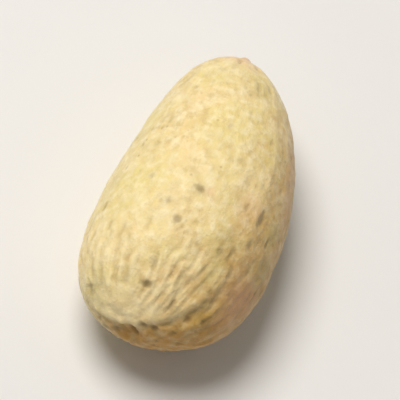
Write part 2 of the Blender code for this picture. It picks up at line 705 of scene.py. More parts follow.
@dataclass(frozen=True)
class Groove:
    """A short fine groove that follows the seed's length, darkened with painted shade.

    Args:
        share: The place of its middle along the seed.
        turn: Its angle round the seed, in degrees.
        length: From end to end.
        width: From its middle to where about a third of its depth is left.
        depth: At its middle.
        lean: How far it drifts round the seed over its length.
        shade: How dark the painted shade in it is, from 0 to 1.
        full_until: The share of the way to its ends up to which it has all its depth.
        lip: How far its lips stand up, as a share of its depth.
        lip_place: How far out they lie, in widths.
    """

    share: float
    turn: float
    length: float = 1.6
    width: float = 0.10
    depth: float = 0.05
    lean: float = 0.0
    shade: float = 0.8
    full_until: float = 0.35
    lip: float = 0.3
    lip_place: float = 2.2

    def press(self, skin: Skin) -> None:
        """Sinks the groove into the skin, and paints shade in it.

        Args:
            skin: The surface that is worked.
        """
        along = skin.along(self.share) / (self.length / 2.0)
        across = skin.around(self.turn) - self.lean * along / 2.0
        reach = smooth_step(1.0, self.full_until, np.abs(along))
        lips = hump(np.abs(across) - self.lip_place * self.width, self.width) * reach
        body = hump(across, self.width) * reach
        skin.rise += self.depth * (self.lip * lips - body)
        # Painted shade in the groove
        skin.show(Mark.GROOVE_SHADE, self.shade * body)


@dataclass(frozen=True)
class Pit:
    """A small pit or pore with a faint lip, darkened with painted shade in it and round it.

    Args:
        share: Its place along the seed.
        turn: Its angle round the seed, in degrees.
        width: Across the seed's length.
        length: Along it.
        depth: At its middle.
        shade: How dark the painted shade in it is, from 0 to 1.
        steepness: How sharply its side drops. More is steeper.
        lip: How far its lip stands up, as a share of its depth.
        lip_place: How far out the lip lies, where the pit's edge is at 1.
        lip_width: How wide it is, in the same measure.
        halo: How dark the painted shade round it is, as a share of that in it.
        halo_reach: How far out that goes, in the same measure.
        raggedness: How far noise of 1 moves its edge, as a share of its size.
        draw: Picks that noise.
        reach: How far out any of it shows, in widths or lengths, whichever are larger.
    """

    share: float
    turn: float
    width: float = 0.26
    length: float = 0.26
    depth: float = 0.06
    shade: float = 0.8
    steepness: int = 3
    lip: float = 0.16
    lip_place: float = 1.5
    lip_width: float = 0.35
    halo: float = 0.55
    halo_reach: float = 1.4
    raggedness: float = 0.5
    draw: int = 1
    reach: float = 2.0

    def press(self, skin: Skin) -> None:
        """Sinks the pit into the skin, and paints shade in it and round it.

        Args:
            skin: The surface that is worked.
        """
        along, across, away = skin.near(self.share, self.turn)
        out = np.full(len(away), np.inf)
        close = away < self.reach * max(self.width, self.length)
        ragged = 1.0 + self.raggedness * soft_noise(skin.points[close], self.width / 2.0, self.draw)
        plain = np.hypot(along / (self.length / 2.0), across / (self.width / 2.0))
        out[close] = plain[close] * ragged
        bowl = np.exp(-(out**self.steepness))
        skin.rise += self.depth * (self.lip * hump(out - self.lip_place, self.lip_width) - bowl)
        # Painted shade in the bowl, and fainter painted shade round it
        skin.show(Mark.PIT_SHADE, self.shade * bowl)
        skin.show(Mark.GROOVE_SHADE, self.halo * self.shade * hump(out, self.halo_reach))


@dataclass(frozen=True)
class ColourPatch:
    """A patch of another colour with a broken edge. Its mark gives the colour; some marks are painted
    shade, and one is a painted highlight.

    Args:
        mark: The colour that it shows.
        share: The place of its middle along the seed.
        turn: Its angle round the seed, in degrees.
        length: Along the seed, from edge to edge.
        width: Round the seed, from edge to edge.
        strength: How strongly it shows, from 0 to 1.
        raggedness: How far noise of 1 moves its edge, as a share of its size.
        softness: How far in its edge starts to fade, as a share of its size.
        draw: Picks the way that its edge breaks up.
        broad_break: The wavelength of the noise that breaks it up.
        fine_break: The wavelength of finer noise that is added.
        fine_share: How strong the finer noise is beside the other.
        reach: How far out its edge is ragged, where its plain edge is at 1.
    """

    mark: Mark
    share: float
    turn: float
    length: float
    width: float
    strength: float = 0.8
    raggedness: float = 0.35
    softness: float = 0.9
    draw: int = 1
    broad_break: float = 0.8
    fine_break: float = 0.3
    fine_share: float = 0.5
    reach: float = 2.5

    def press(self, skin: Skin) -> None:
        """Spreads the stain on the skin.

        Args:
            skin: The surface that is worked.
        """
        lengthwise = skin.along(self.share) / (self.length / 2.0)
        out = np.hypot(lengthwise, skin.around(self.turn) / (self.width / 2.0))
        close = out < self.reach
        ragged = np.zeros(len(out))
        ragged[close] = soft_noise(skin.points[close], self.broad_break, self.draw)
        fine = soft_noise(skin.points[close], self.fine_break, self.draw + OTHER_DRAW)
        ragged[close] += self.fine_share * fine
        edge = out + self.raggedness * ragged
        amount = smooth_step(1.0 + self.softness / 2.0, 1.0 - self.softness, edge)
        skin.show(self.mark, self.strength * amount)


@dataclass(frozen=True)
class Scatter:
    """Grooves and pits strewn over the whole shell, thickest where the real one has them.

    Args:
        draw: The start of the random numbers.
        turns: The turns between which the marks lie, in degrees, but for those of the base.
        crowding: The powers of the beta draw that crowds the grooves towards the broad end.
        pit_lengthening: How much longer than wide a pit is, at least and at most.
        shades: How dark the painted shade in the grooves is.
        lean: How far a groove drifts round the seed at most, either way.
    """

    draw: int = 11
    turns: Span = (0.0, 360.0)
    groove_count: int = 60
    groove_shares: Span = (0.045, 0.40)
    crowding: Span = (1.3, 2.2)
    groove_lengths: Span = (0.4, 1.3)
    groove_widths: Span = (0.07, 0.12)
    groove_depths: Span = (0.014, 0.040)
    tip_groove_count: int = 18
    tip_groove_shares: Span = (0.84, 0.955)
    pit_count: int = 130
    pit_shares: Span = (0.05, 0.94)
    pit_sizes: Span = (0.12, 0.30)
    pit_lengthening: Span = (1.0, 1.8)
    pit_depths: Span = (0.008, 0.030)
    pit_shades: Span = (0.06, 0.34)
    base_pit_count: int = 30
    base_pit_shares: Span = (0.003, 0.055)
    base_pit_turns: Span = (130.0, 365.0)
    base_pit_depths: Span = (0.020, 0.060)
    base_pit_shades: Span = (0.15, 0.50)
    shades: Span = (0.2, 0.5)
    lean: float = 0.25

    def marks(self) -> Iterator[Groove | Pit]:
        """The strewn grooves and pits.

        Returns:
            The same ones each time.
        """
        chance = np.random.default_rng(self.draw)
        first, last = self.groove_shares
        for _ in range(self.groove_count):
            yield Groove(
                share=first + (last - first) * chance.beta(*self.crowding),
                turn=chance.uniform(*self.turns),
                length=chance.uniform(*self.groove_lengths),
                width=chance.uniform(*self.groove_widths),
                depth=chance.uniform(*self.groove_depths),
                lean=chance.uniform(-self.lean, self.lean),
                shade=chance.uniform(*self.shades),
            )
        for _ in range(self.tip_groove_count):
            yield Groove(
                share=chance.uniform(*self.tip_groove_shares),
                turn=chance.uniform(*self.turns),
                length=chance.uniform(*self.groove_lengths),
                width=chance.uniform(*self.groove_widths),
                depth=chance.uniform(*self.groove_depths),
                shade=chance.uniform(*self.shades),
            )
        for _ in range(self.pit_count):
            size = chance.uniform(*self.pit_sizes)
            yield Pit(
                share=chance.uniform(*self.pit_shares),
                turn=chance.uniform(*self.turns),
                width=size,
                length=size * chance.uniform(*self.pit_lengthening),
                depth=chance.uniform(*self.pit_depths),
                shade=chance.uniform(*self.pit_shades),
            )
        for _ in range(self.base_pit_count):
            yield Pit(
                share=chance.uniform(*self.base_pit_shares),
                turn=chance.uniform(*self.base_pit_turns),
                width=chance.uniform(*self.pit_sizes),
                length=chance.uniform(*self.pit_sizes),
                depth=chance.uniform(*self.base_pit_depths),
                shade=chance.uniform(*self.base_pit_shades),
            )


@dataclass(frozen=True)
class Cloud:
    """How the soft noise of a shader is made up.

    Args:
        detail: How many times finer bumps are laid over the coarse ones.
        roughness: How strong the finer bumps are.
        shift: Moves it through space, for another draw of the same noise.
    """

    detail: float
    roughness: float = 0.55
    shift: float = 0.0


class NodeDesk:
    """Adds nodes to one node tree and joins them up."""

    # A Mix node's sockets for colours share their names with others, so they go by number
    FIRST_COLOUR = 6
    SECOND_COLOUR = 7
    MIXED_COLOUR = 2

    def __init__(self, tree: bpy.types.NodeTree) -> None:
        """Works on the tree given."""
        self.tree = tree

    def add(self, kind: str, **settings: object) -> bpy.types.Node:
        """Adds a node.

        Args:
            kind: The kind of node.
            settings: Its settings, by name.

        Returns:
            The new node.
        """
        made = self.tree.nodes.new(kind)
        for name, value in settings.items():
            setattr(made, name, value)
        return made

    def feed(self, socket: bpy.types.NodeSocket, value: object) -> None:
        """Joins an input to an output, or sets it to a plain value.

        Args:
            socket: The input.
            value: The output or the value.
        """
        if isinstance(value, bpy.types.NodeSocket):
            self.tree.links.new(value, socket)
        else:
            socket.default_value = value

    def number(self, operation: str, first: object, second: object) -> bpy.types.NodeSocket:
        """The result of a sum.

        Args:
            operation: The name of the sum, such as MULTIPLY.
            first: A number or an output.
            second: A number or an output.

        Returns:
            The output with the result.
        """
        made = self.add("ShaderNodeMath", operation=operation)
        self.feed(made.inputs[0], first)
        self.feed(made.inputs[1], second)
        return made.outputs["Value"]

    def spread(self, value: object, start: Span, end: Span = (0.0, 1.0)) -> bpy.types.NodeSocket:
        """Spreads one stretch of values over another, and stops at its ends.

        Args:
            value: The output with the values.
            start: The stretch that they come from.
            end: The stretch that they are spread over.

        Returns:
            The output with the result.
        """
        made = self.add("ShaderNodeMapRange", clamp=True)
        self.feed(made.inputs["Value"], value)
        for name, number in zip(("From Min", "From Max", "To Min", "To Max"), (*start, *end)):
            made.inputs[name].default_value = number
        return made.outputs["Result"]

    def blend(self, amount: object, under: object, over: object) -> bpy.types.NodeSocket:
        """One colour laid over another.

        Args:
            amount: How much of the upper colour shows, a number or an output.
            under: The lower colour, as a value or an output.
            over: The upper colour, as a value or an output.

        Returns:
            The output with the mixed colour.
        """
        made = self.add("ShaderNodeMix", data_type="RGBA")
        self.feed(made.inputs["Factor"], amount)
        self.feed(made.inputs[self.FIRST_COLOUR], under)
        self.feed(made.inputs[self.SECOND_COLOUR], over)
        return made.outputs[self.MIXED_COLOUR]

    def stored(self, name: str, output: str = "Fac") -> bpy.types.NodeSocket:
        """The output of an attribute that the mesh stores."""
        made = self.add("ShaderNodeAttribute", attribute_type="GEOMETRY", attribute_name=name)
        return made.outputs[output]

    def cloud(self, vector: object, size: object, look: Cloud) -> bpy.types.NodeSocket:
        """Soft noise.

        Args:
            vector: The output with the places.
            size: About how far apart its bumps are, a number or an output.
            look: How it is made up.

        Returns:
            The output with the noise, from 0 to 1.
        """
        moved = self.add("ShaderNodeVectorMath", operation="ADD")
        self.feed(moved.inputs[0], vector)
        moved.inputs[1].default_value = (look.shift, look.shift, look.shift)
        made = self.add("ShaderNodeTexNoise", noise_dimensions="3D")
        self.feed(made.inputs["Vector"], moved.outputs["Vector"])
        self.feed(made.inputs["Scale"], self.number("DIVIDE", 1.0, size))
        made.inputs["Detail"].default_value = look.detail
        made.inputs["Roughness"].default_value = look.roughness
        return made.outputs["Fac"]

    def place(self, group: bpy.types.NodeTree, **values: object) -> bpy.types.Node:
        """Puts a node group into the tree.

        Args:
            group: The group.
            values: What feeds each of its inputs, by name, with _ for a space.

        Returns:
            The group's node.
        """
        made = self.add("ShaderNodeGroup", node_tree=group)
        for name, value in values.items():
            self.feed(made.inputs[name.replace("_", " ").capitalize()], value)
        return made


class Effect:
    """A node group with named inputs and outputs, for an effect that materials share."""

    def __init__(self, name: str, inputs: dict[str, str], outputs: Iterable[str]) -> None:
        """Starts the group.

        Args:
            name: The group's name.
            inputs: The name of each input and the kind of its socket.
            outputs: The names of its outputs, all of them numbers.
        """
        self.tree = bpy.data.node_groups.new(name, "ShaderNodeTree")
        for label, kind in inputs.items():
            self.tree.interface.new_socket(name=label, in_out="INPUT", socket_type=kind)
        for label in outputs:
            self.tree.interface.new_socket(name=label, in_out="OUTPUT", socket_type="NodeSocketFloat")
        self.desk = NodeDesk(self.tree)
        self.given = self.desk.add("NodeGroupInput").outputs
        self.result = self.desk.add("NodeGroupOutput").inputs


def grain_effect() -> bpy.types.NodeTree:
    """Fine grain, the same in all directions: its height about 0, and its tone from 0 to 1.

    Returns:
        The node group.
    """
    made = Effect("grain", {"Vector": "NodeSocketVector", "Size": "NodeSocketFloat"}, ("Height", "Tone"))
    look = Cloud(detail=4.0, roughness=0.62)
    tone = made.desk.cloud(made.given["Vector"], made.given["Size"], look)
    made.desk.feed(made.result["Tone"], tone)
    made.desk.feed(made.result["Height"], made.desk.number("SUBTRACT", tone, NOISE_MIDDLE))
    return made.tree


def mottle_effect() -> bpy.types.NodeTree:
    """Two draws of soft patches and two of smaller flecks, all from 0 to 1.

    Returns:
        The node group.
    """
    sizes = {"Vector": "NodeSocketVector", "Patch size": "NodeSocketFloat", "Fleck size": "NodeSocketFloat"}
    made = Effect("mottle", sizes, ("Patches", "Other patches", "Flecks", "Other flecks"))
    vector = made.given["Vector"]

    # Each has its name, its size, its noise, and the noise between none of it and all of it
    for name, size, look, edge in (
        ("Patches", "Patch size", Cloud(detail=2.0), (0.36, 0.64)),
        ("Other patches", "Patch size", Cloud(detail=2.0, shift=31.0), (0.44, 0.68)),
        ("Flecks", "Fleck size", Cloud(detail=4.0, shift=57.0), (0.43, 0.66)),
        ("Other flecks", "Fleck size", Cloud(detail=4.0, shift=83.0), (0.48, 0.66)),
    ):
        noisy = made.desk.cloud(vector, made.given[size], look)
        made.desk.feed(made.result[name], made.desk.spread(noisy, edge))
    return made.tree


def fibre_effect() -> bpy.types.NodeTree:
    """Streaks along the fibres: their height about 0, and their tone from 0 to 1.

    Returns:
        The node group.
    """
    made = Effect("fibre", {"Vector": "NodeSocketVector", "Width": "NodeSocketFloat"}, ("Height", "Tone"))
    look = Cloud(detail=3.0, roughness=0.6)
    shown = (0.38, 0.66)
    streaks = made.desk.cloud(made.given["Vector"], made.given["Width"], look)
    made.desk.feed(made.result["Height"], made.desk.number("SUBTRACT", streaks, NOISE_MIDDLE))
    made.desk.feed(made.result["Tone"], made.desk.spread(streaks, shown))
    return made.tree


def speck_effect() -> bpy.types.NodeTree:
    """Small round specks, each 1 at its middle, on a share of the cells of a loose grid.

    Returns:
        The node group.
    """
    sizes = {
        "Vector": "NodeSocketVector",
        "Spacing": "NodeSocketFloat",
        "Radius": "NodeSocketFloat",
        "Share": "NodeSocketFloat",
    }
    made = Effect("specks", sizes, ("Specks",))
    desk = made.desk
    cells = desk.add("ShaderNodeTexVoronoi", voronoi_dimensions="3D", feature="F1")
    desk.feed(cells.inputs["Vector"], made.given["Vector"])
    desk.feed(cells.inputs["Scale"], desk.number("DIVIDE", 1.0, made.given["Spacing"]))
    reach = desk.number("DIVIDE", made.given["Radius"], made.given["Spacing"])
    out = desk.number("DIVIDE", cells.outputs["Distance"], reach)
    rim, core = 1.0, 0.4
    round_speck = desk.spread(out, (rim, core))
    lot = desk.add("ShaderNodeSeparateColor")
    desk.feed(lot.inputs["Color"], cells.outputs["Color"])
    chosen = desk.number("LESS_THAN", lot.outputs["Red"], made.given["Share"])
    desk.feed(made.result["Specks"], desk.number("MULTIPLY", round_speck, chosen))
    return made.tree


@dataclass(frozen=True)
class Effects:
    """The node groups, each built once."""

    grain: bpy.types.NodeTree = field(default_factory=grain_effect)
    mottle: bpy.types.NodeTree = field(default_factory=mottle_effect)
    fibre: bpy.types.NodeTree = field(default_factory=fibre_effect)
    specks: bpy.types.NodeTree = field(default_factory=speck_effect)


@dataclass(frozen=True)
class Layer:
    """A colour that shows where the mesh stores a mark.

    Args:
        mark: The mark.
        colour: The colour.
        strength: How far it covers what is under it, from 0 to 1.
    """

    mark: Mark
    colour: Colour
    strength: float


@dataclass(frozen=True)
class ShellFinish:
    """The dry woody shell: pale cream and straw, tan and mauve where pulp dried on it, with painted shade
    in its dents, grooves and pits and on its side away from the light, and painted highlight on its crests.
    """

    name: str = "dry_shell"
    cream: Colour = (0.87, 0.70, 0.35, 1.0)
    straw: Colour = (0.82, 0.68, 0.28, 1.0)
    blush: Colour = (0.86, 0.61, 0.31, 1.0)
    blush_strength: float = 0.35
    pale: Colour = (0.96, 0.85, 0.55, 1.0)
    pale_strength: float = 0.68
    dull: Colour = (0.60, 0.44, 0.17, 1.0)
    dull_strength: float = 0.58
    fibre_shade: Colour = (0.66, 0.49, 0.22, 1.0)
    fibre_strength: float = 0.10
    speck_shade: Colour = (0.36, 0.24, 0.085, 1.0)
    speck_strength: float = 0.45
    tan_and_shade_flecks: float = 0.45

    # How much of the tan and its painted shade shows without a pale fleck, and with one
    tan_and_shade_break: Span = (1.0, 0.65)

    # The dull flecks show by the first share where there are few other patches, up to the second
    dull_patches: Span = (0.0, 0.7)
    dull_shares: Span = (0.35, 1.0)

    # The marks, in the order that they are laid over the shell. The dent, groove and pit colours are
    # painted shade, the crest colour is a painted highlight, and the tan is both dried pulp and painted
    # shade
    layers: tuple[Layer, ...] = (
        Layer(Mark.PEACH, (0.88, 0.57, 0.34, 1.0), 0.6),
        Layer(Mark.DENT_SHADE, (0.55, 0.41, 0.16, 1.0), 0.45),
        Layer(Mark.CREST_HIGHLIGHT, (0.99, 0.84, 0.48, 1.0), 0.74),
        Layer(Mark.TAN, (0.56, 0.295, 0.058, 1.0), 1.0),
        Layer(Mark.OLIVE, (0.42, 0.36, 0.11, 1.0), 0.55),
        Layer(Mark.MAUVE, (0.59, 0.32, 0.145, 1.0), 0.85),
        Layer(Mark.GROOVE_SHADE, (0.36, 0.24, 0.085, 1.0), 0.75),
        Layer(Mark.PIT_SHADE, (0.19, 0.125, 0.04, 1.0), 0.85),
    )
    fibre_width: float = 0.18
    patch_size: float = 2.8
    fleck_size: float = 0.44
    grain_size: float = 0.11
    speck_spacing: float = 0.75
    speck_radius: float = 0.09
    speck_share: float = 0.35
    grain_tones: Span = (0.3, 0.7)
    roughness: Span = (0.54, 0.68)
    mauve_smoothness: float = 0.14
    shine: float = 0.35
    bloom: float = 0.20
    bloom_roughness: float = 0.5
    fibre_height: float = 0.012
    grain_height: float = 0.030
    fleck_height: float = 0.012
    speck_depth: float = 0.010

    def material(self, effects: Effects) -> bpy.types.Material:
        """The shell's material.

        Args:
            effects: The node groups that it uses.

        Returns:
            The material, which reads the marks that the mesh stores.
        """
        made = bpy.data.materials.new(self.name)
        made.use_nodes = True
        surface = made.node_tree.nodes["Principled BSDF"]
        desk = NodeDesk(made.node_tree)
        scaled = desk.add("ShaderNodeVectorMath", operation="SCALE")
        desk.feed(scaled.inputs[0], desk.add("ShaderNodeTexCoord").outputs["Object"])
        scaled.inputs["Scale"].default_value = 1.0 / MM
        place = scaled.outputs["Vector"]
        fibre = desk.place(effects.fibre, vector=desk.stored("fibre", "Vector"), width=self.fibre_width)
        mottle = desk.place(
            effects.mottle, vector=place, patch_size=self.patch_size, fleck_size=self.fleck_size
        )
        grain = desk.place(effects.grain, vector=place, size=self.grain_size)
        specks = desk.place(
            effects.specks,
            vector=place,
            spacing=self.speck_spacing,
            radius=self.speck_radius,
            share=self.speck_share,
        )
        desk.feed(surface.inputs["Base Color"], self.colour(desk, fibre, mottle, specks))
        desk.feed(surface.inputs["Roughness"], self.gloss(desk, grain))
        desk.feed(surface.inputs["Normal"], self.bumps(desk, fibre, mottle, grain, specks))
        surface.inputs["Specular IOR Level"].default_value = self.shine
        surface.inputs["Sheen Weight"].default_value = self.bloom
        surface.inputs["Sheen Roughness"].default_value = self.bloom_roughness
        return made

    def colour(
        self, desk: NodeDesk, fibre: bpy.types.Node, mottle: bpy.types.Node, specks: bpy.types.Node
    ) -> bpy.types.NodeSocket:
        """The colour over the shell: its own mottled one, then a layer for each mark, some of them painted
        shade and one a painted highlight.

        Args:
            desk: Where the nodes are added.
            fibre: The streaks.
            mottle: The patches and flecks.
            specks: The specks.

        Returns:
            The output with the colour.
        """
        patches = mottle.outputs
        uneven = desk.spread(patches["Other patches"], self.dull_patches, self.dull_shares)
        colour = desk.blend(patches["Patches"], self.cream, self.straw)
        for amount, strength, over in (
            (patches["Other patches"], self.blush_strength, self.blush),
            (patches["Flecks"], self.pale_strength, self.pale),
            (desk.number("MULTIPLY", patches["Other flecks"], uneven), self.dull_strength, self.dull),
            (fibre.outputs["Tone"], self.fibre_strength, self.fibre_shade),
            (specks.outputs["Specks"], self.speck_strength, self.speck_shade),
        ):
            colour = desk.blend(desk.number("MULTIPLY", amount, strength), colour, over)
        broken = desk.spread(patches["Flecks"], (0.0, 1.0), self.tan_and_shade_break)
        for layer in self.layers:
            amount = desk.number("MULTIPLY", desk.stored(layer.mark.value), layer.strength)
            if layer.mark is Mark.TAN:
                # The tan and its painted shade are thinner where the pale flecks are, and darker where the
                # dull ones are
                colour = desk.blend(desk.number("MULTIPLY", amount, broken), colour, layer.colour)
                amount = desk.number("MULTIPLY", amount, patches["Other flecks"])
                amount = desk.number("MULTIPLY", amount, self.tan_and_shade_flecks)
                colour = desk.blend(amount, colour, self.speck_shade)
            else:
                colour = desk.blend(amount, colour, layer.colour)
        return colour

    def gloss(self, desk: NodeDesk, grain: bpy.types.Node) -> bpy.types.NodeSocket:
        """The roughness over the shell: it varies with the grain, and the mauve skin is smoother.

        Args:
            desk: Where the nodes are added.
            grain: The grain.

        Returns:
            The output with the roughness.
        """
        rough = desk.spread(grain.outputs["Tone"], self.grain_tones, self.roughness)
        smoother = desk.number("MULTIPLY", desk.stored(Mark.MAUVE.value), self.mauve_smoothness)
        return desk.number("SUBTRACT", rough, smoother)

    def bumps(
        self,
        desk: NodeDesk,
        fibre: bpy.types.Node,
        mottle: bpy.types.Node,
        grain: bpy.types.Node,
        specks: bpy.types.Node,
    ) -> bpy.types.NodeSocket:
        """The fine relief that is too small for the mesh, its heights in millimetres.

        Args:
            desk: Where the nodes are added.
            fibre: The streaks.
            mottle: The patches and flecks.
            grain: The grain.
            specks: The specks.

        Returns:
            The output with the bent normal.
        """
        height = desk.number("MULTIPLY", fibre.outputs["Height"], self.fibre_height)
        for amount, raised in (
            (grain.outputs["Height"], self.grain_height),
            (mottle.outputs["Flecks"], self.fleck_height),
            (mottle.outputs["Other flecks"], -self.fleck_height),
            (specks.outputs["Specks"], -self.speck_depth),
        ):
            height = desk.number("ADD", height, desk.number("MULTIPLY", amount, raised))
        bump = desk.add("ShaderNodeBump")
        bump.inputs["Distance"].default_value = MM
        desk.feed(bump.inputs["Height"], height)
        return bump.outputs["Normal"]


@dataclass(frozen=True)
class FloorFinish:
    """A plain pale matte board."""

    name: str = "pale_board"
    light: Colour = (0.795, 0.785, 0.77, 1.0)
    shade: Colour = (0.78, 0.77, 0.755, 1.0)
    roughness: float = 0.85
    shine: float = 0.2
    patch_size: float = 0.020

    def material(self, effects: Effects) -> bpy.types.Material:
        """The board's material.

        Args:
            effects: The node groups that it uses.

        Returns:
            The material, pale with faint patches.
        """
        made = bpy.data.materials.new(self.name)
        made.use_nodes = True
        surface = made.node_tree.nodes["Principled BSDF"]
        desk = NodeDesk(made.node_tree)
        where = desk.add("ShaderNodeTexCoord").outputs["Object"]
        mottle = desk.place(effects.mottle, vector=where, patch_size=self.patch_size)
        colour = desk.blend(mottle.outputs["Patches"], self.light, self.shade)
        desk.feed(surface.inputs["Base Color"], colour)
        surface.inputs["Roughness"].default_value = self.roughness
        surface.inputs["Specular IOR Level"].default_value = self.shine
        return made


@dataclass
class SeedShell:
    """The whole seed, the one piece that this script makes.

    Args:
        low: The lowest corner of the solid that it stands for, in metres.
        high: Its highest corner.
        finish: The look of the shell.
        name: The piece's name.
        node: The solid that it stands for.
        slot: The solid's material. It is not used.
        body: The moving body that it rides on.
        ball: The mesh that takes its shape.
        spot_depth: How much of the underside the flat spot takes away.
        spot_edge: How soft the spot's edge is.
        fibre_stretch: The share that a length along the seed counts for in the fibres.
    """

    low: Vector
    high: Vector
    finish: ShellFinish = ShellFinish()
    name: str = "seed_shell"
    node: str = "neem_seed"
    slot: str = "seed_shell"
    body: str = "root"
    ball: EvenBall = EvenBall()
    spot_depth: float = 0.16
    spot_edge: float = 0.02
    fibre_stretch: float = 0.14

    def lumps(self) -> tuple[Lumps, ...]:
        """Swellings, dents and small lumps all over, streaks by the scar, and the knobbly base.

        Returns:
            The lumps, in the order that they are pressed in.
        """
        return (
            Lumps(spacing=4.6, height=0.090, draw=1),
            Lumps(spacing=1.7, height=0.040, draw=2),
            Lumps(spacing=0.70, height=0.032, draw=3, dent_shade=0.40),
            Lumps(spacing=0.32, height=0.018, draw=4, dent_shade=0.30),
            Lumps(spacing=0.19, height=0.010, draw=8, stretch=0.35, dent_shade=0.25),
            Lumps(spacing=0.50, height=0.040, draw=5, stretch=0.36, dent_shade=0.35, least=0.30),
            Lumps(spacing=0.27, height=0.024, draw=6, stretch=0.22, dent_shade=0.30, least=0.0, weak_from=0.32),
            Lumps(
                spacing=0.42,
                height=0.060,
                draw=9,
                dent_shade=0.50,
                least=0.0,
                strong_until=0.02,
                weak_from=0.07,
            ),
        )

    def swells(self) -> tuple[Swell, ...]:
        """What makes this one seed lopsided: a flatter flank, and fuller shoulders by the point.

        Returns:
            The swells, in the order that they are pressed in.
        """
        return (
            Swell(share=0.60, turn=10.0, length=5.4, width=5.0, height=-0.15),
            Swell(share=0.90, turn=30.0, length=3.0, width=3.4, height=0.12),
            Swell(share=0.86, turn=150.0, length=4.6, width=3.4, height=0.13),
        )

    def seams(self) -> tuple[Seam, ...]:
        """Three seams, a third of a turn apart.

        Returns:
            The seams, in the order that they are pressed in.
        """
        return (
            Seam(turn=4.0, crest=0.042, bend=-6.0, draw=1),
            Seam(turn=127.0, crest=0.012, bend=25.0, draw=2),
            Seam(turn=244.0, crest=0.036, draw=3),
        )

    def ledges(self) -> tuple[Ledge, ...]:
        """The edge of the base round the scar, which runs up the second seam, and one behind it.

        Returns:
            The ledges, in the order that they are pressed in.
        """
        # Each place is a share of the length and a turn in degrees
        edge = (
            (0.060, 3.0),
            (0.025, 18.0),
            (0.015, 37.0),
            (0.013, 60.0),
            (0.015, 84.0),
            (0.040, 113.0),
            (0.093, 120.0),
            (0.148, 125.5),
            (0.196, 127.0),
            (0.225, 127.0),
        )
        behind = ((0.020, 155.0), (0.045, 141.0), (0.075, 142.0), (0.110, 144.0))
        return (
            Ledge(path=edge, draw=70),
            Ledge(path=behind, height=0.05, drop=0.04, tan_and_shade=0.0, width=0.20, draw=71),
        )

    def ribs(self) -> tuple[Ribs, ...]:
        """The fine ribs right of the middle, the broader ones left of it, and some on the hidden side.

        Returns:
            The ribs, in the order that they are pressed in.
        """
        return (
            Ribs(turns=(72.0, 122.0), shares=(0.03, 0.26), count=7, height=0.032, lean=2.2, draw=90),
            Ribs(turns=(18.0, 76.0), shares=(0.05, 0.24), count=6, shine=0.55, draw=92),
            Ribs(turns=(190.0, 300.0), shares=(0.04, 0.26), count=18, shine=0.40, draw=94),
        )

    def pits(self) -> tuple[Pit, ...]:
        """The pits that stand out, and the pores and notches of the scar.

        Returns:
            The pits, in the order that they are pressed in.
        """
        return (
            Pit(share=0.426, turn=86.0, width=0.46, length=0.36, depth=0.08, shade=0.66),
            Pit(share=0.310, turn=82.0, width=0.36, length=0.40, depth=0.06, shade=0.60),
            Pit(share=0.100, turn=81.0, width=0.42, length=0.38, depth=0.09, shade=0.85),
            Pit(share=0.160, turn=81.0, width=0.24, length=0.80, depth=0.06, shade=0.40),
            Pit(share=0.432, turn=131.0, width=0.42, length=0.72, depth=0.08, shade=0.50),
            Pit(share=0.273, turn=114.5, width=0.30, length=0.55, depth=0.05, shade=0.38),
            Pit(share=0.340, turn=131.0, width=0.30, length=0.50, depth=0.05, shade=0.38),
            Pit(share=0.233, turn=128.5, width=0.26, length=0.60, depth=0.05, shade=0.38),
            Pit(share=0.289, turn=122.0, width=0.24, length=0.60, depth=0.05, shade=0.42),
            Pit(share=0.441, turn=118.0, width=0.22, length=0.46, depth=0.04, shade=0.38),
            Pit(share=0.388, turn=145.0, width=0.22, length=0.50, depth=0.04, shade=0.38),
            Pit(share=0.066, turn=132.0, width=0.28, length=0.34, depth=0.06, shade=0.50),
            Pit(share=0.084, turn=143.0, width=0.24, length=0.30, depth=0.05, shade=0.45),
            Pit(share=0.030, turn=138.0, width=0.30, length=0.28, depth=0.06, shade=0.48),
            Pit(share=0.321, turn=24.0, width=0.24, length=0.50, depth=0.04, shade=0.45),
            Pit(share=0.069, turn=22.0, width=0.36, length=0.60, depth=0.06, shade=0.50),
            Pit(share=0.014, turn=334.0, width=0.40, length=0.34, depth=0.08, shade=0.60),
            Pit(share=0.004, turn=10.0, width=0.44, length=0.36, depth=0.12, shade=0.70),
            Pit(share=0.002, turn=80.0, width=0.46, length=0.30, depth=0.14, shade=0.75),
            Pit(share=0.017, turn=96.5, width=0.34, length=0.30, depth=0.10, shade=0.60),
            Pit(share=0.018, turn=116.0, width=0.36, length=0.30, depth=0.10, shade=0.60),
        )

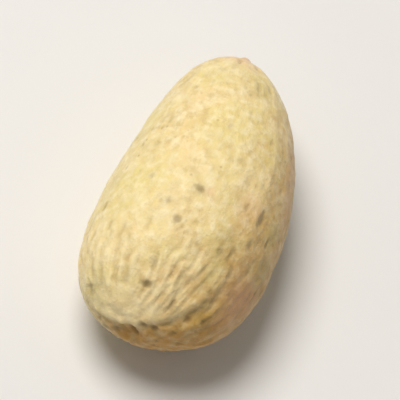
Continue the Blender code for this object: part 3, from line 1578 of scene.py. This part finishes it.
    def grooves(self) -> tuple[Groove, ...]:
        """The short grooves that fan out from the scar over the upper face, and those by the point.

        Returns:
            The grooves, in the order that they are pressed in.
        """
        return (
            Groove(share=0.097, turn=40.0, length=1.5, width=0.13, depth=0.05, shade=0.50),
            Groove(share=0.109, turn=64.0, length=1.4, width=0.16, depth=0.05, shade=0.55),
            Groove(share=0.100, turn=97.0, length=1.3, width=0.10, depth=0.05, shade=0.35),
            Groove(share=0.121, turn=104.0, length=1.4, width=0.10, depth=0.05, shade=0.35),
            Groove(share=0.085, turn=109.0, length=1.5, width=0.11, depth=0.05, shade=0.45),
            Groove(share=0.165, turn=95.0, length=1.3, width=0.09, depth=0.04, shade=0.30),
            Groove(share=0.180, turn=112.0, length=1.5, width=0.09, depth=0.04, shade=0.35),
            Groove(share=0.235, turn=103.0, length=1.2, width=0.09, depth=0.04, shade=0.40),
            Groove(share=0.866, turn=108.0, length=1.1, width=0.10, depth=0.04, shade=0.50),
            Groove(share=0.880, turn=122.0, length=0.9, width=0.09, depth=0.03, shade=0.45),
            Groove(share=0.955, turn=80.0, length=0.9, width=0.10, depth=0.07, shade=0.60),
            Groove(share=0.958, turn=112.0, length=0.8, width=0.10, depth=0.06, shade=0.50),
            Groove(share=0.075, turn=131.0, length=1.4, width=0.14, depth=0.06, shade=0.48),
            Groove(share=0.123, turn=135.0, length=1.2, width=0.14, depth=0.05, shade=0.42),
        )

    def colour_patches(self) -> tuple[ColourPatch, ...]:
        """Where the shell is tan, mauve, olive or peach, and where a highlight is painted on it. The first
        three tan ones are partly painted shade, and the last four are on its hidden side.

        Returns:
            The stains, in the order that they are pressed in.
        """
        return (
            # The first three are tan and also painted shade on the side away from the light
            ColourPatch(Mark.TAN, share=0.24, turn=175.0, length=8.8, width=9.8, strength=0.92, draw=1),
            ColourPatch(Mark.TAN, share=0.58, turn=169.0, length=9.6, width=6.4, strength=0.75, draw=2),
            ColourPatch(Mark.TAN, share=0.39, turn=135.0, length=3.2, width=2.6, strength=0.58, draw=20),
            ColourPatch(Mark.MAUVE, share=0.190, turn=154.0, length=3.0, width=3.0, strength=0.9, draw=3),
            ColourPatch(Mark.MAUVE, share=0.64, turn=155.0, length=4.6, width=1.4, strength=0.45, draw=4),
            ColourPatch(Mark.OLIVE, share=0.872, turn=110.0, length=1.8, width=1.2, strength=0.5, draw=5),
            ColourPatch(Mark.OLIVE, share=0.085, turn=30.0, length=2.2, width=1.8, strength=0.4, draw=6),
            ColourPatch(Mark.OLIVE, share=0.20, turn=118.0, length=2.2, width=1.2, strength=0.5, draw=7),
            ColourPatch(Mark.OLIVE, share=0.29, turn=116.0, length=2.4, width=1.5, strength=0.45, draw=17),
            ColourPatch(Mark.OLIVE, share=0.110, turn=138.0, length=2.6, width=1.2, strength=0.55, draw=18),
            ColourPatch(Mark.OLIVE, share=0.30, turn=154.0, length=2.2, width=1.7, strength=0.80, draw=21),
            ColourPatch(Mark.OLIVE, share=0.43, turn=147.0, length=1.4, width=1.1, strength=0.70, draw=22),
            # These two are painted highlight over the ribs and along the ledge
            ColourPatch(Mark.CREST_HIGHLIGHT, share=0.115, turn=107.0, length=4.0, width=2.8, strength=0.80, draw=16),
            ColourPatch(Mark.CREST_HIGHLIGHT, share=0.036, turn=60.0, length=2.6, width=3.4, strength=1.0, draw=19),
            ColourPatch(Mark.PEACH, share=0.985, turn=90.0, length=2.6, width=3.0, strength=0.9, draw=8),
            ColourPatch(Mark.PEACH, share=0.44, turn=121.0, length=2.0, width=1.6, strength=0.65, draw=9),
            ColourPatch(Mark.PEACH, share=0.432, turn=92.5, length=0.6, width=0.5, strength=0.9, draw=15),
            ColourPatch(Mark.MAUVE, share=0.999, turn=90.0, length=0.8, width=1.0, strength=0.4, draw=10),
            ColourPatch(Mark.TAN, share=0.30, turn=285.0, length=6.0, width=3.4, strength=0.5, draw=11),
            ColourPatch(Mark.MAUVE, share=0.55, turn=262.0, length=2.4, width=1.3, strength=0.6, draw=12),
            ColourPatch(Mark.OLIVE, share=0.72, turn=318.0, length=2.2, width=1.2, strength=0.4, draw=13),
            ColourPatch(Mark.PEACH, share=0.50, turn=345.0, length=3.0, width=1.8, strength=0.5, draw=14),
        )

    def build(self, effects: Effects) -> bpy.types.Object:
        """Makes the shell, dresses it and sets it on the frame.

        Args:
            effects: The node groups for its material.

        Returns:
            The finished piece.
        """
        mesh = self.ball.mesh(self.name)
        skin = self.skin(mesh)
        self.press_marks(skin)
        points = self.rest(skin.points + skin.normals * skin.rise[:, None])
        self.set_points(mesh, self.fitted(points))
        self.store(mesh, skin)
        mesh.shade_smooth()
        mesh.materials.append(self.finish.material(effects))
        piece = bpy.data.objects.new(self.name, mesh)
        bpy.context.scene.collection.objects.link(piece)
        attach(piece, self.body)
        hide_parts(self.node)
        LOG.info("%s: %d faces, stands for %s", self.name, len(mesh.polygons), self.node)
        return piece

    def skin(self, mesh: bpy.types.Mesh) -> Skin:
        """Lays the plain form over the ball and reads its surface back.

        Args:
            mesh: The ball, which takes the form's shape.

        Returns:
            The smooth and clean surface.
        """
        ball = np.empty(len(mesh.vertices) * 3, np.float32)
        mesh.vertices.foreach_get("co", ball)
        ball = ball.reshape(-1, 3).astype(float)
        share = np.clip((1.0 + ball[:, 0]) / 2.0, 0.0, 1.0)
        turn = np.arctan2(ball[:, 2], ball[:, 1])
        form = SeedForm.in_box(self.high - self.low)
        points = form.points(share, turn)
        self.set_points(mesh, points)
        normals = np.empty(len(points) * 3, np.float32)
        mesh.vertex_normals.foreach_get("vector", normals)
        return Skin(form, points, normals.reshape(-1, 3).astype(float), share, turn)

    def press_marks(self, skin: Skin) -> None:
        """Works all that the shell shows into its surface.

        Args:
            skin: The surface.
        """
        shapes = (*self.lumps(), *self.swells(), *self.seams(), *self.ledges(), *self.ribs())
        for mark in (*shapes, *Scatter().marks(), *self.grooves(), *self.pits(), *self.colour_patches()):
            mark.press(skin)

    def rest(self, points: np.ndarray) -> np.ndarray:
        """Makes the underside flat where the seed rests, with a soft edge round the spot.

        Args:
            points: The corners, one a row.

        Returns:
            The corners, the lowest of them moved up onto the spot.
        """
        floor = points[:, 2].min() + self.spot_depth
        above = (points[:, 2] - floor) / self.spot_edge
        softened = np.logaddexp(0.0, above)
        return np.column_stack([points[:, 0], points[:, 1], floor + self.spot_edge * softened])

    def fitted(self, points: np.ndarray) -> np.ndarray:
        """Fits the shell into the solid's box exactly.

        Args:
            points: The corners in millimetres, one a row.

        Returns:
            The corners in metres.
        """
        low, high = points.min(axis=0), points.max(axis=0)
        box_low, box_high = np.array(self.low), np.array(self.high)
        stretch = (box_high - box_low) / (high - low)
        LOG.info("%s: stretched by %s to fill its box", self.name, np.round(stretch / MM, 4))
        return box_low + (points - low) * stretch

    @staticmethod
    def set_points(mesh: bpy.types.Mesh, points: np.ndarray) -> None:
        """Moves the mesh's corners to the points."""
        mesh.vertices.foreach_set("co", points.astype(np.float32).ravel())
        mesh.update()

    def store(self, mesh: bpy.types.Mesh, skin: Skin) -> None:
        """Stores the marks and the fibres' places in the mesh, for its material.

        Args:
            mesh: The mesh.
            skin: The worked surface.
        """
        for mark, amount in skin.marks.items():
            kept = mesh.attributes.new(mark.value, "FLOAT", "POINT")
            kept.data.foreach_set("value", amount.astype(np.float32))
        kept = mesh.attributes.new("fibre", "FLOAT_VECTOR", "POINT")
        places = skin.drawn(self.fibre_stretch)
        kept.data.foreach_set("vector", places.astype(np.float32).ravel())


@dataclass
class Floor:
    """A pale board that curves up into a round wall far behind the seed.

    Args:
        finish: The look of the board.
        name: The board's name.
        core_radius: Of its innermost ring of corners, in metres.
        flat_radius: How far out it starts to curve up.
        bend_radius: Of the curve.
        wall_height: How high the wall goes.
        bend_steps: How many faces the curve has.
        round_steps: How many faces go round its middle.
        seam_gap: Corners closer than this are one.
    """

    finish: FloorFinish = FloorFinish()
    name: str = "floor"
    core_radius: float = 0.08
    flat_radius: float = 0.32
    bend_radius: float = 0.20
    wall_height: float = 0.50
    bend_steps: int = 24
    round_steps: int = 128
    seam_gap: float = 1e-6

    def outline(self) -> list[Vector]:
        """The board's profile.

        Returns:
            Its corners, from its middle out and up.
        """
        corners = [Vector((0.0, 0.0, 0.0)), Vector((self.core_radius, 0.0, 0.0))]
        for step in range(self.bend_steps + 1):
            angle = math.pi / 2.0 * step / self.bend_steps
            out = self.flat_radius + self.bend_radius * math.sin(angle)
            corners.append(Vector((out, 0.0, self.bend_radius * (1.0 - math.cos(angle)))))
        corners.append(Vector((self.flat_radius + self.bend_radius, 0.0, self.wall_height)))
        return corners

    def build(self, effects: Effects, height: float) -> bpy.types.Object:
        """Makes the board.

        Args:
            effects: The node groups for its material.
            height: How high its flat middle lies, in metres.

        Returns:
            The board, marked as not part of the seed.
        """
        made = bmesh.new()
        corners = [made.verts.new(corner) for corner in self.outline()]
        lines = [made.edges.new(pair) for pair in zip(corners, corners[1:])]
        bmesh.ops.spin(
            made,
            geom=corners + lines,
            cent=(0.0, 0.0, 0.0),
            axis=(0.0, 0.0, 1.0),
            angle=FULL_TURN,
            steps=self.round_steps,
        )
        bmesh.ops.remove_doubles(made, verts=made.verts, dist=self.seam_gap)
        bmesh.ops.recalc_face_normals(made, faces=made.faces)
        mesh = bpy.data.meshes.new(self.name)
        made.to_mesh(mesh)
        made.free()
        mesh.shade_smooth()
        mesh.materials.append(self.finish.material(effects))
        board = bpy.data.objects.new(self.name, mesh)
        board.location.z = height
        bpy.context.scene.collection.objects.link(board)
        LOG.info("%s: %d faces", self.name, len(mesh.polygons))
        return board


@dataclass
class PhotoCamera:
    """A long lens that looks at the seed from the photograph's angle, closer in.

    Args:
        target: The middle of the picture.
        lens: The focal length, in millimetres.
        sensor: The sensor's width, in millimetres.
        frame_width: How much of the scene the picture takes in across, in metres.
        end_towards_viewer: How many degrees the broad end is turned towards the viewer.
        length_above_level: How many degrees the seed's length stands above level in it.
        clip: The nearest and farthest that it sees, in metres.
    """

    target: Vector
    lens: float = 500.0
    sensor: float = 36.0
    frame_width: float = 0.0180
    end_towards_viewer: float = 25.0
    length_above_level: float = 67.97
    clip: Span = (0.01, 10.0)

    def axes(self) -> tuple[Vector, Vector, Vector]:
        """The directions of the picture.

        Returns:
            To its right, up in it, and back to the camera.
        """
        tilt = math.radians(self.end_towards_viewer)
        roll = math.radians(self.length_above_level)
        back = Vector((-math.sin(tilt), 0.0, math.cos(tilt)))
        lengthwise = Vector((math.cos(tilt), 0.0, math.sin(tilt)))
        crosswise = back.cross(lengthwise)
        right = math.cos(roll) * lengthwise - math.sin(roll) * crosswise
        up = math.sin(roll) * lengthwise + math.cos(roll) * crosswise
        return right, up, back

    def build(self) -> bpy.types.Object:
        """Makes the camera and gives it to the scene.

        Returns:
            The camera.
        """
        right, up, back = self.axes()
        data = bpy.data.cameras.new("camera")
        data.lens = self.lens
        data.sensor_width = self.sensor
        data.clip_start, data.clip_end = self.clip
        camera = bpy.data.objects.new("camera", data)
        distance = self.frame_width * self.lens / self.sensor
        turned = Matrix((right, up, back)).transposed().to_4x4()
        camera.matrix_world = Matrix.Translation(self.target + distance * back) @ turned
        bpy.context.scene.collection.objects.link(camera)
        bpy.context.scene.camera = camera
        LOG.info("camera: %.0f mm lens, %.0f mm away", self.lens, distance / MM)
        return camera


@dataclass
class SoftLight:
    """A large softbox up and to the left of the picture, and even light from all round.

    Args:
        target: What the softbox points at.
        camera: The camera whose picture it is placed by.
        towards_viewer: How much the softbox's direction goes towards the viewer.
        towards_top: How much it goes towards the top of the picture, in the same measure.
        towards_left: How much it goes towards the left of the picture.
        distance: From the target, in metres.
        size: Across, in metres.
        power: In watts.
        colour: Of the softbox and of the even light.
        sky_strength: How bright the even light is.
    """

    target: Vector
    camera: PhotoCamera
    towards_viewer: float = 0.80
    towards_top: float = 0.68
    towards_left: float = 0.11
    distance: float = 0.30
    size: float = 0.16
    power: float = 0.85
    colour: tuple[float, float, float] = (1.0, 0.975, 0.94)
    sky_strength: float = 0.25

    def build(self) -> None:
        """Makes the softbox and the even light."""
        right, up, back = self.camera.axes()
        towards = self.towards_viewer * back + self.towards_top * up - self.towards_left * right
        towards.normalize()
        data = bpy.data.lights.new("softbox", "AREA")
        data.shape = "DISK"
        data.size = self.size
        data.energy = self.power
        data.color = self.colour
        softbox = bpy.data.objects.new("softbox", data)
        softbox.location = self.target + self.distance * towards
        softbox.rotation_euler = towards.to_track_quat("Z", "Y").to_euler()
        softbox.visible_camera = False
        bpy.context.scene.collection.objects.link(softbox)

        world = bpy.data.worlds.new("even_light")
        world.use_nodes = True
        sky = world.node_tree.nodes["Background"]
        sky.inputs["Color"].default_value = (*self.colour, 1.0)
        sky.inputs["Strength"].default_value = self.sky_strength
        bpy.context.scene.world = world
        LOG.info("softbox: %.0f mm across, %.0f mm away", self.size / MM, self.distance / MM)


def main() -> None:
    """Builds the seed, the floor, the camera and the light, in that order."""
    logging.basicConfig(level=logging.INFO, format="%(name)s %(message)s")
    low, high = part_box(SeedShell.node)
    middle = (low + high) / 2.0
    effects = Effects()
    SeedShell(low, high).build(effects)
    Floor().build(effects, low.z)
    camera = PhotoCamera(middle)
    camera.build()
    SoftLight(middle, camera).build()
    bpy.context.scene.view_settings.view_transform = "Standard"


if __name__ == "__main__":
    main()
